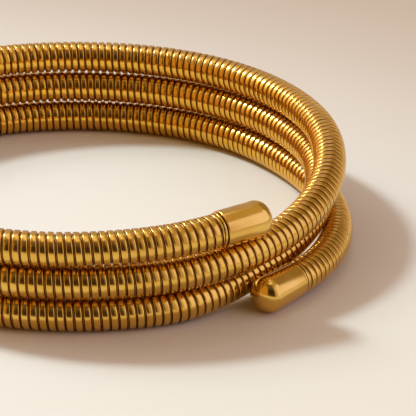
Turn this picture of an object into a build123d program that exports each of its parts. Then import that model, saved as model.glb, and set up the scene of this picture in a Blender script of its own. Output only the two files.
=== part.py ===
from build123d import *
import math
import os

# Coil bracelet: a springy wound tube of three stacked turns that lies on its side, with a
# collar ring and a bullet shaped cap on each end. Millimetres, +Z up, and the origin on the
# surface that it lies on, on the axis of the coil.

# Wound tube
tube_diameter = 4.0
tube_wall = 0.5
coil_radius = 31.6
turns = 2.946
start_azimuth = -60.31
turn_gap = 0.21
points_per_turn = 24
arc_share = 0.45

# End caps and collars
cap_diameter = 4.48
cap_barrel = 4.83
cap_shoulder_share = 0.73
cap_crown_share = 1.3
cap_mouth_round = 0.12
cap_clearance = 0.12
collar_diameter = 4.2
collar_width = 0.33
collar_round = 0.12
seam_gap = 0.12
spigot_length = 2.4
spigot_clearance = 0.15

# How far the turns grow from the lowest to the highest, in mm for each turn
turn_growth = 0.35

# The ring is a very little square: the share of coil_radius by which it stands out at four
# corners, and the azimuth of one of them
ring_squareness = 0.007
corner_azimuth = -37.5

# Where each turn steps down onto the next level, in turns from the level's own mark
step_start = -0.21
step_end = 0.038

# Where the lowest strand swings out, and where the climbing strand dips in to pass inside its
# cap: the dip is longer on the side that climbs
flare_start = 2.727
flare_end = 2.948
dip_centre = 1.949
dip_turns_before = 0.165
dip_turns_after = 0.08
end_rise_turns = 0.11

tube_radius = tube_diameter / 2
bore_radius = tube_radius - tube_wall
cap_radius = cap_diameter / 2
cap_step = cap_radius - tube_radius
level_pitch = tube_diameter + turn_gap
crossing_width = tube_radius + cap_radius + cap_clearance
end_flare = 0.67 * crossing_width
crossing_dip = 0.38 * crossing_width
levels = 3


def smooth(share):
    """Eased step from 0 to 1 as the share goes from 0 to 1."""
    share = min(max(share, 0.0), 1.0)
    return share * share * (3 - 2 * share)


def line_radius(turn):
    """Distance of the tube's centre line from the coil's axis."""
    azimuth = start_azimuth - 360 * turn
    radius = coil_radius + turn_growth * (levels / 2 - turn)
    radius += coil_radius * ring_squareness * math.cos(math.radians(4 * (azimuth - corner_azimuth)))
    dip_half = dip_turns_before if turn < dip_centre else dip_turns_after
    offset = (turn - dip_centre) / dip_half
    if abs(offset) < 1:
        radius -= crossing_dip * (1 - offset**2) ** 2
    return radius + end_flare * smooth((turn - flare_start) / (flare_end - flare_start))


def line_height(turn):
    """Height of the tube's centre line: flat levels joined by eased steps."""
    height = tube_radius
    for level in range(levels):
        height += level_pitch * (1 - smooth((turn - level - step_start) / (step_end - step_start)))
    height += (cap_step + cap_clearance) * (1 - smooth(turn / end_rise_turns))
    return height + cap_step * smooth((turn - turns + end_rise_turns) / end_rise_turns)


def line_point(turn):
    """Point of the centre line, after this many turns down from the upper end."""
    azimuth = math.radians(start_azimuth - 360 * turn)
    radius = line_radius(turn)
    return Vector(radius * math.cos(azimuth), radius * math.sin(azimuth), line_height(turn))


# The route has its corners outside the centre line, as far beyond the middle of each piece of
# it as the chord lies inside, so that the arcs between the runs follow the line, and starts and
# ends in line with the caps.
corners = round(turns * points_per_turn)
corner_turn = turns / corners
route_points = [line_point(0)]
for i in range(corners):
    chord_middle = (line_point(i * corner_turn) + line_point((i + 1) * corner_turn)) / 2
    route_points.append(line_point((i + 0.5) * corner_turn) * 2 - chord_middle)
route_points.append(line_point(turns))

# Each arc is as large as its two runs allow. The first and last runs are half as long and
# hold one arc only, so that arc takes twice the share.
arc_shares = [2 * arc_share] + [arc_share] * (corners - 2) + [2 * arc_share]
arc_radii = []
for i in range(corners):
    run_in = route_points[i + 1] - route_points[i]
    run_out = route_points[i + 2] - route_points[i + 1]
    half_turn = math.radians(run_in.get_angle(run_out) / 2)
    shorter_run = min(run_in.length, run_out.length)
    arc_radii.append(arc_shares[i] * shorter_run / math.tan(half_turn))
print("arc radii", round(min(arc_radii), 1), "to", round(max(arc_radii), 1))

upper_end = route_points[0]
upper_out = (route_points[0] - route_points[1]).normalized()
lower_end = route_points[-1]
lower_out = (route_points[-1] - route_points[-2]).normalized()

# The wound tube, hollow, from end to end of the coil
with BuildPart() as wound_tube:
    with BuildLine() as route:
        FilletPolyline(*route_points, radius=arc_radii)
    with BuildSketch(Plane(origin=upper_end, z_dir=-upper_out)) as section:
        Circle(tube_radius)
        Circle(bore_radius, mode=Mode.SUBTRACT)
    sweep()
section_area = math.pi * (tube_radius**2 - bore_radius**2)
swept_share = wound_tube.part.volume / (section_area * route.wires()[0].length)
print("tube length", round(route.wires()[0].length, 1), "volume share", round(swept_share, 4))
wound_tube.part.label = "wound_tube"

collar_start = seam_gap
collar_end = collar_start + collar_width
cap_mouth = collar_end + seam_gap
barrel_end = cap_mouth + cap_barrel
spigot_radius = bore_radius - spigot_clearance

# Profile of a cap: barrel, shoulder arc of small radius and shallow crown of large radius
shoulder_radius = cap_shoulder_share * cap_radius
crown_radius = cap_crown_share * cap_radius
shoulder_centre = cap_radius - shoulder_radius
crown_reach = math.sqrt((crown_radius - shoulder_radius) ** 2 - shoulder_centre**2)
crown_centre = barrel_end - crown_reach
crown_angle = math.asin(shoulder_centre / (crown_radius - shoulder_radius))
cap_tip = crown_centre + crown_radius


def end_plane(end, outward):
    """Plane through the tube's axis at one end, its X pointing out of the tube."""
    sideways = outward.cross(Vector(0, 0, 1)).normalized()
    return Plane(origin=end, x_dir=outward, z_dir=sideways)


def collar_profile():
    """Half section of a collar, round at its outer edges."""
    with BuildSketch() as profile:
        with BuildLine():
            Polyline(
                (collar_start, spigot_radius + spigot_clearance),
                (collar_end, spigot_radius + spigot_clearance),
                (collar_end, collar_diameter / 2),
                (collar_start, collar_diameter / 2),
                close=True,
            )
        make_face()
        fillet(profile.vertices().group_by(Axis.Y)[-1], collar_round)
    return profile.sketch


def cap_profile():
    """Half section of a cap with the spigot that holds it in the tube."""
    join = (
        crown_centre + crown_radius * math.cos(crown_angle),
        crown_radius * math.sin(crown_angle),
    )
    with BuildSketch() as profile:
        with BuildLine():
            Line((-spigot_length, 0), (-spigot_length, spigot_radius))
            Line((-spigot_length, spigot_radius), (cap_mouth, spigot_radius))
            Line((cap_mouth, spigot_radius), (cap_mouth, cap_radius))
            Line((cap_mouth, cap_radius), (barrel_end, cap_radius))
            RadiusArc((barrel_end, cap_radius), join, shoulder_radius)
            RadiusArc(join, (cap_tip, 0), crown_radius)
            Line((cap_tip, 0), (-spigot_length, 0))
        make_face()
        mouth_corner = profile.vertices().filter_by_position(Axis.X, cap_mouth - 0.01, cap_mouth + 0.01)
        fillet(mouth_corner.sort_by(Axis.Y)[-1], cap_mouth_round)
    return profile.sketch


# The two ends, each with its collar and its cap turned about the tube's own axis
upper_plane = end_plane(upper_end, upper_out)
lower_plane = end_plane(lower_end, lower_out)

with BuildPart() as upper_collar:
    with BuildSketch(upper_plane):
        add(collar_profile())
    revolve(axis=Axis(upper_end, upper_out))
upper_collar.part.label = "upper_collar"

with BuildPart() as lower_collar:
    with BuildSketch(lower_plane):
        add(collar_profile())
    revolve(axis=Axis(lower_end, lower_out))
lower_collar.part.label = "lower_collar"

with BuildPart() as upper_end_cap:
    with BuildSketch(upper_plane):
        add(cap_profile())
    revolve(axis=Axis(upper_end, upper_out))
upper_end_cap.part.label = "upper_end_cap"

with BuildPart() as lower_end_cap:
    with BuildSketch(lower_plane):
        add(cap_profile())
    revolve(axis=Axis(lower_end, lower_out))
lower_end_cap.part.label = "lower_end_cap"

os.makedirs("parts", exist_ok=True)
export_step(wound_tube.part, "parts/wound_tube.step")
export_step(upper_collar.part, "parts/upper_collar.step")
export_step(lower_collar.part, "parts/lower_collar.step")
export_step(upper_end_cap.part, "parts/upper_end_cap.step")
export_step(lower_end_cap.part, "parts/lower_end_cap.step")
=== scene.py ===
"""Looks of the coil bracelet: the wound strip, the collars and the caps, the studio and the camera.

Lengths are in metres, in the frame of the CAD model: +Z up, the origin on the floor and on the
axis of the coil. The tube's route repeats the sizes and the formula of the CAD source.
"""
import math

import bmesh
import bpy
import numpy as np
from mathutils import Matrix, Vector


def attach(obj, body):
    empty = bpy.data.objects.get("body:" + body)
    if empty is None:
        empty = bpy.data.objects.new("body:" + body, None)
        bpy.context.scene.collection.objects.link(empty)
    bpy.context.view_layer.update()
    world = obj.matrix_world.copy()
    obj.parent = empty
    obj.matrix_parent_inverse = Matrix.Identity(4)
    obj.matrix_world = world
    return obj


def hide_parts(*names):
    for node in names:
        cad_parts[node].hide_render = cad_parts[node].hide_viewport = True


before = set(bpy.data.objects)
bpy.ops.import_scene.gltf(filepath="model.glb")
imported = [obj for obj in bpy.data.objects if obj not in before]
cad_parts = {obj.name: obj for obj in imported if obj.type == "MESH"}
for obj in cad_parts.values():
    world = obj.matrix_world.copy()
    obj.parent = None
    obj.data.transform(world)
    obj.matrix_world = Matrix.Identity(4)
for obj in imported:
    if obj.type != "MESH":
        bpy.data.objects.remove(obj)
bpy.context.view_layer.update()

MM = 0.001

# ---------------------------------------------------------------- sizes, as in the CAD source
tube_diameter = 4.0 * MM
tube_wall = 0.5 * MM
coil_radius = 31.6 * MM
turns = 2.946
start_azimuth = -60.31
turn_gap = 0.21 * MM
points_per_turn = 24
turn_growth = 0.35 * MM
ring_squareness = 0.007
corner_azimuth = -37.5
step_start = -0.21
step_end = 0.038
flare_start = 2.727
flare_end = 2.948
dip_centre = 1.949
dip_turns_before = 0.165
dip_turns_after = 0.08
end_rise_turns = 0.11
levels = 3

cap_diameter = 4.48 * MM
cap_barrel = 4.83 * MM
cap_shoulder_share = 0.73
cap_crown_share = 1.3
cap_mouth_round = 0.12 * MM
cap_clearance = 0.12 * MM
collar_diameter = 4.2 * MM
collar_width = 0.33 * MM
collar_round = 0.12 * MM
seam_gap = 0.12 * MM
spigot_length = 2.4 * MM
spigot_clearance = 0.15 * MM

tube_radius = tube_diameter / 2
bore_radius = tube_radius - tube_wall
spigot_radius = bore_radius - spigot_clearance
cap_radius = cap_diameter / 2
cap_step = cap_radius - tube_radius
level_pitch = tube_diameter + turn_gap
crossing_width = tube_radius + cap_radius + cap_clearance
end_flare = 0.67 * crossing_width
crossing_dip = 0.38 * crossing_width

# ---------------------------------------------------------------- sizes of the wound strip
rib_pitch = 0.985 * MM

# How far the ribs stand out beyond the solid of the CAD model
strip_swell = 0.065 * MM

# How unevenly the strip is wound: the spread of the ribs' shifts and of their tilts, as a slope,
# and the knots that carry this noise, with a few spare ones beyond each end
rib_shift = 0.010 * MM
rib_tilt = 0.02
winding_seed = 7
knots_per_rib = 3
spare_knots = 6

# Half of a rib's section: how far from the middle of the rib, as a share of the pitch, and how
# deep, in mm. The rib is flat with rounded shoulders, and the floor of the groove is the strip's
# own folded edge, a small ridge between two slots.
RIB_SECTION = (
    # offset, depth
    (0.000, 0.000),
    (0.235, 0.003),
    (0.310, 0.015),
    (0.350, 0.040),
    (0.372, 0.080),
    (0.384, 0.130),
    (0.392, 0.330),
    (0.450, 0.310),
    (0.474, 0.180),
    (0.500, 0.165),
)

# Half the width of a rib, from its middle to the groove, as a share of the pitch, and the depth
# that its shoulders stay above
face_half = 0.388
shoulder_depth = 0.15 * MM

# ---------------------------------------------------------------- how fine the meshes are
line_samples = 20000
strip_sides = 32
strip_pieces = 4
core_sides = 24
core_rings = 360
core_rim_depth = 0.05 * MM
lathe_sides = 96
crown_points = 12
shoulder_points = 20
mouth_points = 7
collar_points = 6

# Points closer than this become one, and edges sharper than this many degrees stay sharp
weld_distance = 0.0005 * MM
sharp_degrees = 40


# ---------------------------------------------------------------- the route of the tube
def smooth(share):
    """Eased step from 0 to 1 as the share goes from 0 to 1."""
    share = np.clip(share, 0.0, 1.0)
    return share * share * (3 - 2 * share)


def line_points(turn):
    """Points of the tube's centre line, after these numbers of turns down from the upper end."""
    turn = np.asarray(turn, float)
    azimuth = start_azimuth - 360 * turn
    radius = coil_radius + turn_growth * (levels / 2 - turn)
    radius += coil_radius * ring_squareness * np.cos(np.radians(4 * (azimuth - corner_azimuth)))
    dip_half = np.where(turn < dip_centre, dip_turns_before, dip_turns_after)
    offset = np.clip((turn - dip_centre) / dip_half, -1.0, 1.0)
    radius -= crossing_dip * (1 - offset**2) ** 2
    radius += end_flare * smooth((turn - flare_start) / (flare_end - flare_start))
    height = tube_radius + cap_step * smooth((turn - turns + end_rise_turns) / end_rise_turns)
    height += (cap_step + cap_clearance) * (1 - smooth(turn / end_rise_turns))
    for level in range(levels):
        height += level_pitch * (1 - smooth((turn - level - step_start) / (step_end - step_start)))
    azimuth = np.radians(azimuth)
    return np.stack([radius * np.cos(azimuth), radius * np.sin(azimuth), height], axis=-1)


def normalised(vectors):
    """The same directions with length 1."""
    return vectors / np.linalg.norm(vectors, axis=-1, keepdims=True)


line = line_points(np.linspace(0, turns, line_samples + 1))
line_steps = np.linalg.norm(np.diff(line, axis=0), axis=1)
line_lengths = np.concatenate([[0.0], np.cumsum(line_steps)])
line_tangents = np.gradient(line, line_lengths, axis=0)
tube_length = line_lengths[-1]


def on_line(vectors, length):
    """Vectors that belong to the samples of the line, read off at these lengths along it."""
    return np.stack([np.interp(length, line_lengths, vectors[:, i]) for i in range(3)], axis=-1)


def tube_surface(length, angle, radius):
    """Points on a tube of this radius, the angle going right-handed round the way along it
    from its top."""
    along = normalised(on_line(line_tangents, length))
    up = normalised(np.array([0.0, 0.0, 1.0]) - along * along[..., 2:])
    inward = np.cross(along, up)
    out = np.cos(angle)[..., None] * up + np.sin(angle)[..., None] * inward
    return on_line(line, length) + radius[..., None] * out


# ---------------------------------------------------------------- helpers for meshes
def grid_faces(rows, columns):
    """Corner numbers of the faces of a grid of points, row by row."""
    corner = np.arange(rows * columns).reshape(rows, columns)
    corners = [corner[:-1, :-1], corner[1:, :-1], corner[1:, 1:], corner[:-1, 1:]]
    return np.stack(corners, axis=-1).reshape(-1, 4)


def add_piece(name, points, faces, uv, material, node, sharp_angle=None):
    """A mesh piece from arrays: its points, its faces and the UV of each face corner."""
    mesh = bpy.data.meshes.new(name)
    mesh.from_pydata(points.reshape(-1, 3).tolist(), [], faces.tolist())
    layer = mesh.uv_layers.new(name="strip")
    layer.uv.foreach_set("vector", uv.ravel())
    joined = bmesh.new()
    joined.from_mesh(mesh)
    bmesh.ops.remove_doubles(joined, verts=joined.verts, dist=weld_distance)
    joined.to_mesh(mesh)
    joined.free()
    mesh.materials.append(material)
    mesh.shade_smooth()
    if sharp_angle:
        mesh.set_sharp_from_angle(angle=math.radians(sharp_angle))
    piece = bpy.data.objects.new(name, mesh)
    bpy.context.scene.collection.objects.link(piece)
    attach(piece, "root")
    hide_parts(node)


# ---------------------------------------------------------------- helpers for materials
class NodeTree:
    """The nodes of a material or a world, with short ways to add the ones used here."""

    def __init__(self, owner):
        owner.use_nodes = True
        self.nodes = owner.node_tree.nodes
        self.links = owner.node_tree.links

    def put(self, value, socket):
        """Link an output to the socket, or set a number or a colour on it."""
        if isinstance(value, bpy.types.NodeSocket):
            self.links.new(value, socket)
        elif isinstance(value, tuple) and len(value) == 3 and socket.type == "RGBA":
            socket.default_value = (*value, 1)
        else:
            socket.default_value = value

    def coordinates(self, kind):
        return self.nodes.new("ShaderNodeTexCoord").outputs[kind]

    def axes(self, vector):
        """The X, Y and Z of a vector, by name."""
        node = self.nodes.new("ShaderNodeSeparateXYZ")
        self.put(vector, node.inputs[0])
        return node.outputs

    def math(self, operation, *values):
        node = self.nodes.new("ShaderNodeMath")
        node.operation = operation
        for socket, value in zip(node.inputs, values):
            self.put(value, socket)
        return node.outputs[0]

    def distance_in_cycle(self, value, place):
        """How far the fraction of the value lies from a place between 0 and 1."""
        return self.math("ABSOLUTE", self.math("SUBTRACT", self.math("FRACT", value), place))

    def ramp(self, value, low, high, to_low=0.0, to_high=1.0):
        """Eased change from to_low to to_high as the value goes from low to high."""
        node = self.nodes.new("ShaderNodeMapRange")
        node.interpolation_type = "SMOOTHSTEP"
        node.inputs["From Min"].default_value = low
        node.inputs["From Max"].default_value = high
        node.inputs["To Min"].default_value = to_low
        node.inputs["To Max"].default_value = to_high
        self.put(value, node.inputs["Value"])
        return node.outputs["Result"]

    def band(self, value, low, high, low_edge, high_edge):
        """1 between low and high and 0 beyond them, eased over soft edges of these halves."""
        above = self.ramp(value, low - low_edge, low + low_edge)
        below = self.ramp(value, high - high_edge, high + high_edge, 1.0, 0.0)
        return self.math("MULTIPLY", above, below)

    def mix(self, share, first, second):
        """Blend of two colours, by the places that its sockets have on the node."""
        node = self.nodes.new("ShaderNodeMix")
        node.data_type = "RGBA"
        for value, socket in ((share, 0), (first, 6), (second, 7)):
            self.put(value, node.inputs[socket])
        return node.outputs[2]

    def noise(self, coordinates, scales, detail, roughness=0.55):
        """Noise over coordinates that are stretched by these scales."""
        stretched = self.nodes.new("ShaderNodeVectorMath")
        stretched.operation = "MULTIPLY"
        stretched.inputs[1].default_value = scales
        self.put(coordinates, stretched.inputs[0])
        node = self.nodes.new("ShaderNodeTexNoise")
        node.inputs["Scale"].default_value = 1.0
        node.inputs["Detail"].default_value = detail
        node.inputs["Roughness"].default_value = roughness
        self.put(stretched.outputs["Vector"], node.inputs["Vector"])
        return node.outputs["Fac"]

    def bump(self, height, distance, strength):
        node = self.nodes.new("ShaderNodeBump")
        node.inputs["Strength"].default_value = strength
        node.inputs["Distance"].default_value = distance
        self.put(height, node.inputs["Height"])
        return node.outputs["Normal"]


# ---------------------------------------------------------------- materials
GOLD_DEEP = (0.72, 0.415, 0.06)
GOLD_PALE = (0.79, 0.48, 0.085)
# Painted reflection: a deeper, more orange gold on the coil's inner side, where the strands face
# each other
GOLD_INNER_REFLECTION = (0.83, 0.45, 0.045)
CAP_DEEP = (0.75, 0.46, 0.095)
CAP_PALE = (0.80, 0.51, 0.12)
# Painted shade in the grooves and the paler paint of the ridge in their middle; the core is
# coloured between the same two
GROOVE_DARK = (0.12, 0.028, 0.004)
GROOVE_EDGE = (0.60, 0.33, 0.065)

# Roughness at the two ends of the noise, and how much rougher the grooves are
STRIP_ROUGHNESS = (0.11, 0.22)
CAP_ROUGHNESS = (0.11, 0.19)
CORE_ROUGHNESS = (0.4, 0.55)
GROOVE_ROUGHNESS = 0.25
COAT_WEIGHT = 0.2
COAT_IOR = 1.7
COAT_ROUGHNESS = 0.38

# Nearly all of the noise lies within the first range, and the tint of the caps changes within
# the second
NOISE_RANGE = (0.3, 0.7)
CAP_CLOUD_RANGE = (0.35, 0.65)

# Scales of the noises, over U and V or per metre, and the height of what they raise
STREAK_SCALES = (46, 3, 1)
TINT_SCALES = (0.02, 1.7, 1)
TURNED_RING_SCALES = (3, 30, 1)
CAP_CLOUD_SCALES = (260, 260, 260)
CORE_CLOUD_SCALES = (400, 400, 400)
STREAK_HEIGHT = 0.004 * MM
TURNED_RING_HEIGHT = 0.003 * MM

# In shares of the pitch: the painted shade of a groove is full as far as FULL short of its edge and
# gone at GONE beyond it, and the lighter paint of the ridge in its middle fades between two
# distances
GROOVE_FULL = 0.004
GROOVE_GONE = 0.016
RIDGE_FADE = (0.018, 0.036)

# In times round the tube from its top: the side towards the coil's axis, and the two distances from
# it between which the deeper gold painted there fades. That gold is a painted reflection: the
# orange of the strands seen in each other on the side where they face.
INNER_SIDE = 0.25
INNER_FADE = (0.06, 0.18)


def metal(name):
    """A new metal: the material, its node tree and its shader."""
    material = bpy.data.materials.new(name)
    tree = NodeTree(material)
    shader = tree.nodes["Principled BSDF"]
    shader.inputs["Metallic"].default_value = 1.0
    return material, tree, shader


def strip_material():
    """Gold strip with faint drawn streaks along it, a tint of its own on each rib, a deeper gold
    painted on the coil's inner side as a reflection of the strands in each other, painted shade in
    the grooves that is paler along the ridge in their middle, and a satin coat that spreads the
    brightest lights. U counts the ribs and V goes along the strip, in times round."""
    material, tree, shader = metal("strip_gold")
    uv = tree.coordinates("UV")
    axes = tree.axes(uv)
    from_groove = tree.distance_in_cycle(axes["X"], 0.5)
    groove_edge = 0.5 - face_half
    dark_from, dark_to = groove_edge - GROOVE_FULL, groove_edge + GROOVE_GONE
    groove = tree.ramp(from_groove, dark_from, dark_to, 1.0, 0.0)
    ridge = tree.ramp(from_groove, *RIDGE_FADE, 1.0, 0.0)
    streaks = tree.noise(uv, STREAK_SCALES, detail=4, roughness=0.6)
    tint = tree.noise(uv, TINT_SCALES, detail=2)
    gold = tree.mix(tree.ramp(tint, *NOISE_RANGE), GOLD_DEEP, GOLD_PALE)
    # Painted reflection of the strands in each other: deeper gold on the coil's inner side
    from_inside = tree.distance_in_cycle(axes["Y"], INNER_SIDE)
    gold = tree.mix(tree.ramp(from_inside, *INNER_FADE, 1.0, 0.0), gold, GOLD_INNER_REFLECTION)
    # Painted shade in the grooves, lighter along the ridge in their middle
    painted_groove_shade = tree.mix(ridge, GROOVE_DARK, GROOVE_EDGE)
    tree.put(tree.mix(groove, gold, painted_groove_shade), shader.inputs["Base Color"])
    drawn = tree.ramp(streaks, *NOISE_RANGE, *STRIP_ROUGHNESS)
    rough = tree.math("ADD", drawn, tree.math("MULTIPLY", groove, GROOVE_ROUGHNESS))
    tree.put(rough, shader.inputs["Roughness"])
    shader.inputs["Coat Weight"].default_value = COAT_WEIGHT
    shader.inputs["Coat IOR"].default_value = COAT_IOR
    shader.inputs["Coat Roughness"].default_value = COAT_ROUGHNESS
    tree.put(tree.bump(streaks, STREAK_HEIGHT, strength=0.25), shader.inputs["Normal"])
    return material


def polished_material():
    """Polished gold of the caps and collars, with faint turned rings and a cloudy tint."""
    material, tree, shader = metal("polished_gold")
    rings = tree.noise(tree.coordinates("UV"), TURNED_RING_SCALES, detail=4, roughness=0.6)
    cloud = tree.noise(tree.coordinates("Object"), CAP_CLOUD_SCALES, detail=3)
    colour = tree.mix(tree.ramp(cloud, *CAP_CLOUD_RANGE), CAP_DEEP, CAP_PALE)
    tree.put(colour, shader.inputs["Base Color"])
    tree.put(tree.ramp(rings, *NOISE_RANGE, *CAP_ROUGHNESS), shader.inputs["Roughness"])
    tree.put(tree.bump(rings, TURNED_RING_HEIGHT, strength=0.2), shader.inputs["Normal"])
    return material


def core_material():
    """Dull dark brass of the spring core inside the strip."""
    material, tree, shader = metal("core_brass")
    cloud = tree.noise(tree.coordinates("Object"), CORE_CLOUD_SCALES, detail=3)
    colour = tree.mix(tree.ramp(cloud, *NOISE_RANGE), GROOVE_DARK, GROOVE_EDGE)
    tree.put(colour, shader.inputs["Base Color"])
    tree.put(tree.ramp(cloud, *NOISE_RANGE, *CORE_ROUGHNESS), shader.inputs["Roughness"])
    return material


strip_gold = strip_material()
polished_gold = polished_material()
core_brass = core_material()


# ---------------------------------------------------------------- the wound strip
# The rows of one rib, from its middle through the groove to the middle of the next
half_section = np.array(RIB_SECTION)
mirrored = half_section[-2:0:-1] * (-1, 1) + (1, 0)
rib_rows = np.concatenate([half_section, mirrored]) * (1, MM)
rib_count = round(tube_length / rib_pitch)
rib_length = tube_length / rib_count

# A little unevenness of the winding, as smooth noise along the strip
rng = np.random.default_rng(winding_seed)
knots = np.arange(-spare_knots, knots_per_rib * rib_count + spare_knots + 1) / knots_per_rib
knot_shift = rng.normal(0, rib_shift, len(knots))
knot_tilt = rng.normal(0, rib_tilt, len(knots))


def strip_piece(name, first_rib, last_rib):
    """The strip from one rib to another: a helix whose rows follow the groove, so that row
    i + len(rib_rows) at the top is row i after one time round the tube."""
    ribs = np.arange(first_rib, last_rib)
    across = np.append((ribs[:, None] + rib_rows[None, :, 0]).ravel(), last_rib)
    depth = np.append(np.tile(rib_rows[:, 1], len(ribs)), 0.0)
    angle = np.linspace(0, 2 * math.pi, strip_sides + 1)
    around = angle[None] / (2 * math.pi)

    # In a groove the noise is the mean of the two ribs beside it, and only the faces tilt
    lower = np.ceil(across - 0.5)[:, None] + around
    upper = np.floor(across + 0.5)[:, None] + around
    shift = (np.interp(lower, knots, knot_shift) + np.interp(upper, knots, knot_shift)) / 2
    tilt = (np.interp(lower, knots, knot_tilt) + np.interp(upper, knots, knot_tilt)) / 2
    from_middle = ((across - np.round(across)) * (depth < shoulder_depth))[:, None]
    lean = tilt * from_middle * rib_length
    length = (across[:, None] + around) * rib_length + shift
    radius = tube_radius + strip_swell - depth[:, None] - np.abs(lean) + lean
    angles = np.broadcast_to(angle, length.shape)
    points = tube_surface(np.clip(length, 0, tube_length), angles, radius)

    # Faces that lie wholly beyond an end of the tube are left out
    faces = grid_faces(*length.shape)
    whole = ((length[:-1, :-1] < tube_length) & (length[1:, 1:] > 0)).ravel()
    middle = np.round((across[:-1] + across[1:]) / 2)
    row = faces // (strip_sides + 1)
    column = faces % (strip_sides + 1)
    along = np.repeat(middle, strip_sides)[:, None] + column / strip_sides
    uv = np.stack([across[row], along], axis=-1)
    add_piece(name, points, faces[whole], uv[whole], strip_gold, "wound_tube")


# The first piece starts one rib early, so that the helix covers the tube's end all round
cuts = [round(rib_count * i / strip_pieces) for i in range(strip_pieces + 1)]
cuts[0] = -1
for i in range(strip_pieces):
    strip_piece(f"wound_strip_{i + 1}", cuts[i], cuts[i + 1])


def core_piece():
    """The bore of the tube, with a rim at each end out to the strip."""
    angle = np.linspace(0, 2 * math.pi, core_sides + 1)
    length = np.linspace(0, tube_length, core_rings + 1)
    length = np.concatenate([[0.0], length, [tube_length]])
    radius = np.full(len(length), bore_radius)
    radius[[0, -1]] = tube_radius - core_rim_depth
    length, radius = [np.repeat(values[:, None], len(angle), axis=1) for values in (length, radius)]
    points = tube_surface(length, np.broadcast_to(angle, length.shape), radius)
    faces = grid_faces(*length.shape)[:, ::-1]
    around = (faces % len(angle)) / core_sides
    uv = np.stack([length.ravel()[faces] / rib_length, around], axis=-1)
    material, node, slot = core_brass, "wound_tube", "wound_strip"
    add_piece("spring_core", points, faces, uv, material, node, sharp_degrees)


core_piece()


# ---------------------------------------------------------------- collars and caps
collar_end = seam_gap + collar_width
cap_mouth = collar_end + seam_gap
barrel_end = cap_mouth + cap_barrel
shoulder_radius = cap_shoulder_share * cap_radius
crown_radius = cap_crown_share * cap_radius
shoulder_centre = cap_radius - shoulder_radius
crown_centre = barrel_end - math.sqrt((crown_radius - shoulder_radius) ** 2 - shoulder_centre**2)
crown_angle = math.degrees(math.asin(shoulder_centre / (crown_radius - shoulder_radius)))


def arc(centre, radius, first, last, count):
    """Points (along, out) of an arc, its angles in degrees from the way along the axis."""
    angle = np.radians(np.linspace(first, last, count))
    return [(centre[0] + radius * math.cos(a), centre[1] + radius * math.sin(a)) for a in angle]


def cap_profile():
    """Half section of a cap: crown, shoulder, barrel, rounded mouth and spigot."""
    profile = arc((crown_centre, 0), crown_radius, 0, crown_angle, crown_points)
    shoulder = (barrel_end, shoulder_centre)
    profile += arc(shoulder, shoulder_radius, crown_angle, 90, shoulder_points)[1:]
    corner = (cap_mouth + cap_mouth_round, cap_radius - cap_mouth_round)
    profile += arc(corner, cap_mouth_round, 90, 180, mouth_points)
    profile += [(cap_mouth, spigot_radius), (-spigot_length, spigot_radius), (-spigot_length, 0)]
    return profile


def collar_profile():
    """Section of a collar, round at its outer edges."""
    outer = collar_diameter / 2 - collar_round
    profile = [(collar_end, bore_radius)]
    profile += arc((collar_end - collar_round, outer), collar_round, 0, 90, collar_points)
    profile += arc((seam_gap + collar_round, outer), collar_round, 90, 180, collar_points)
    return profile + [(seam_gap, bore_radius), (collar_end, bore_radius)]


def turned_piece(name, profile, end, outward):
    """A piece turned about the tube's own axis at one end."""
    angle = np.linspace(0, 2 * math.pi, lathe_sides + 1)
    sideways = normalised(np.cross(outward, (0, 0, 1)))
    upward = np.cross(sideways, outward)
    along, out = np.array(profile).T
    ring = np.cos(angle)[:, None] * upward + np.sin(angle)[:, None] * sideways
    points = end + along[:, None, None] * outward + out[:, None, None] * ring[None]
    faces = grid_faces(len(along), len(angle))
    way = np.concatenate([[0.0], np.cumsum(np.hypot(np.diff(along), np.diff(out)))]) / MM
    uv = np.stack([(faces % len(angle)) / lathe_sides, way[faces // len(angle)]], axis=-1)
    add_piece(f"{name}_lathe", points, faces, uv, polished_gold, name, sharp_degrees)


# The way out of each end is that of the first run of the CAD model's route
first_run = turns / round(turns * points_per_turn)
for side, turn, way in (("upper", 0, 1), ("lower", turns, -1)):
    end, middle, inner = line_points(turn + way * first_run * np.array([0, 0.5, 1]))
    outward = normalised(end - (2 * middle - (end + inner) / 2))
    turned_piece(f"{side}_collar", collar_profile(), end, outward)
    turned_piece(f"{side}_end_cap", cap_profile(), end, outward)


# ---------------------------------------------------------------- floor, light and camera
FLOOR_HALF = 3.0
FLOOR_COLOUR = (0.80, 0.735, 0.61)
FLOOR_ROUGHNESS = 0.7

LIGHTS = (
    # name, azimuth, elevation, distance in m, radius in m, power in W, colour
    ("key", 145, 48, 0.60, 0.045, 11.6, (0.65, 0.845, 1.0)),
    ("glow", 144, 38, 0.70, 0.100, 5.8, (0.74, 0.88, 1.0)),
)
LIGHT_AIM = (-0.022, -0.027, 0.0)
POOL_RADIUS = 0.125
POOL_SOFTNESS = 0.74

# The wall turns into the ceiling between these two elevations
WALL = (0.75, 0.48, 0.12)
CEILING = (0.60, 0.44, 0.22)
WALL_END = (30, 62)

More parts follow.
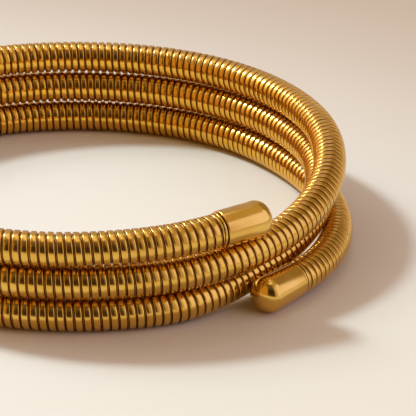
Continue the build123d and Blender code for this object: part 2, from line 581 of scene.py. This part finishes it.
# Patches of the surroundings, each blended over the ones before it
SURROUNDINGS = (
    # azimuths, elevations, soft edges of the four sides in degrees, colour
    ((-190, -122), (-10, 54), (5, 8, 3, 10), (0.62, 0.36, 0.10)),
    ((16, 76), (4, 56), (5, 8, 5, 8), (0.34, 0.24, 0.12)),
    ((76, 140), (-10, 54), (8, 10, 5, 6), (0.56, 0.46, 0.44)),
    ((100, 150), (-10, 32), (6, 10, 5, 8), (0.88, 0.69, 0.45)),
    ((74, 150), (58, 100), (9, 12, 6, 5), (1.22, 1.14, 1.35)),
    ((-190, 190), (79, 100), (5, 5, 5, 5), (1.25, 1.06, 0.85)),
    ((122, 168), (22, 56), (14, 14, 12, 12), (2.1, 1.85, 1.95)),
    ((-150, -58), (48, 73), (12, 8, 5, 5), (0.20, 0.14, 0.08)),
    ((-66, -42), (2, 60), (4, 4, 5, 5), (0.62, 0.50, 0.42)),
    ((-42, 17), (-6, 53), (4, 5, 4, 5), (1.10, 0.99, 1.40)),
    ((-122, -66), (2, 68), (4, 4, 3, 6), (0.18, 0.12, 0.065)),
    ((-122, -66), (2, 46), (4, 4, 3, 16), (0.050, 0.03, 0.012)),
)

# The photograph's camera, as fitted to the bracelet's outlines: its place and focal length in
# mm, and where it looks and has its top
CAMERA_PLACE = (0.0, -281.078, 125.965)
CAMERA_FORWARD = (0.05375, 0.91318, -0.40399)
CAMERA_UP = (-0.00268, 0.40471, 0.91444)
FOCAL_LENGTH = 208.0
SENSOR_WIDTH = 36.0


def add_floor():
    mesh = bpy.data.meshes.new("floor")
    corners = [(x * FLOOR_HALF, y * FLOOR_HALF, 0) for x, y in ((-1, -1), (1, -1), (1, 1), (-1, 1))]
    mesh.from_pydata(corners, [], [(0, 1, 2, 3)])
    floor = bpy.data.objects.new("floor", mesh)
    bpy.context.scene.collection.objects.link(floor)
    material = bpy.data.materials.new("floor_cream")
    shader = NodeTree(material).nodes["Principled BSDF"]
    shader.inputs["Base Color"].default_value = (*FLOOR_COLOUR, 1)
    shader.inputs["Roughness"].default_value = FLOOR_ROUGHNESS
    mesh.materials.append(material)


def direction(azimuth, elevation):
    azimuth, elevation = math.radians(azimuth), math.radians(elevation)
    flat = math.cos(elevation)
    return Vector((flat * math.cos(azimuth), flat * math.sin(azimuth), math.sin(elevation)))


def add_light(name, azimuth, elevation, distance, radius, power, colour):
    """A round lamp whose pool of light ends softly behind the bracelet."""
    light = bpy.data.lights.new(name, "SPOT")
    light.shadow_soft_size = radius
    light.energy = power
    light.color = colour
    light.spot_size = 2 * math.atan(POOL_RADIUS / distance)
    light.spot_blend = POOL_SOFTNESS
    lamp = bpy.data.objects.new(name, light)
    lamp.location = distance * direction(azimuth, elevation)
    lamp.rotation_euler = (lamp.location - Vector(LIGHT_AIM)).to_track_quat("Z", "Y").to_euler()
    bpy.context.scene.collection.objects.link(lamp)


def add_world():
    """A soft warm surrounding: bright overhead and to the back and right, dark low in front."""
    world = bpy.data.worlds.new("studio")
    bpy.context.scene.world = world
    tree = NodeTree(world)
    axes = tree.axes(tree.coordinates("Generated"))
    degrees = 180 / math.pi
    elevation = tree.math("MULTIPLY", tree.math("ARCSINE", axes["Z"]), degrees)
    azimuth = tree.math("MULTIPLY", tree.math("ARCTAN2", axes["Y"], axes["X"]), degrees)
    colour = tree.mix(tree.ramp(elevation, *WALL_END), WALL, CEILING)
    for azimuths, elevations, edges, patch_colour in SURROUNDINGS:
        turned = tree.band(azimuth, *azimuths, *edges[:2])
        raised = tree.band(elevation, *elevations, *edges[2:])
        colour = tree.mix(tree.math("MULTIPLY", turned, raised), colour, patch_colour)
    tree.put(colour, tree.nodes["Background"].inputs["Color"])


def add_camera():
    """The photograph's view."""
    camera = bpy.data.cameras.new("camera")
    camera.sensor_width = SENSOR_WIDTH
    camera.lens = FOCAL_LENGTH
    camera.clip_start = 0.01
    camera.clip_end = 20.0
    view = bpy.data.objects.new("camera", camera)
    forward = Vector(CAMERA_FORWARD).normalized()
    right = forward.cross(Vector(CAMERA_UP)).normalized()
    turned = Matrix((right, right.cross(forward), -forward)).transposed().to_4x4()
    view.matrix_world = Matrix.Translation(Vector(CAMERA_PLACE) * MM) @ turned
    bpy.context.scene.collection.objects.link(view)
    bpy.context.scene.camera = view


add_floor()
for row in LIGHTS:
    add_light(*row)
add_world()
add_camera()
bpy.context.scene.view_settings.view_transform = "Standard"
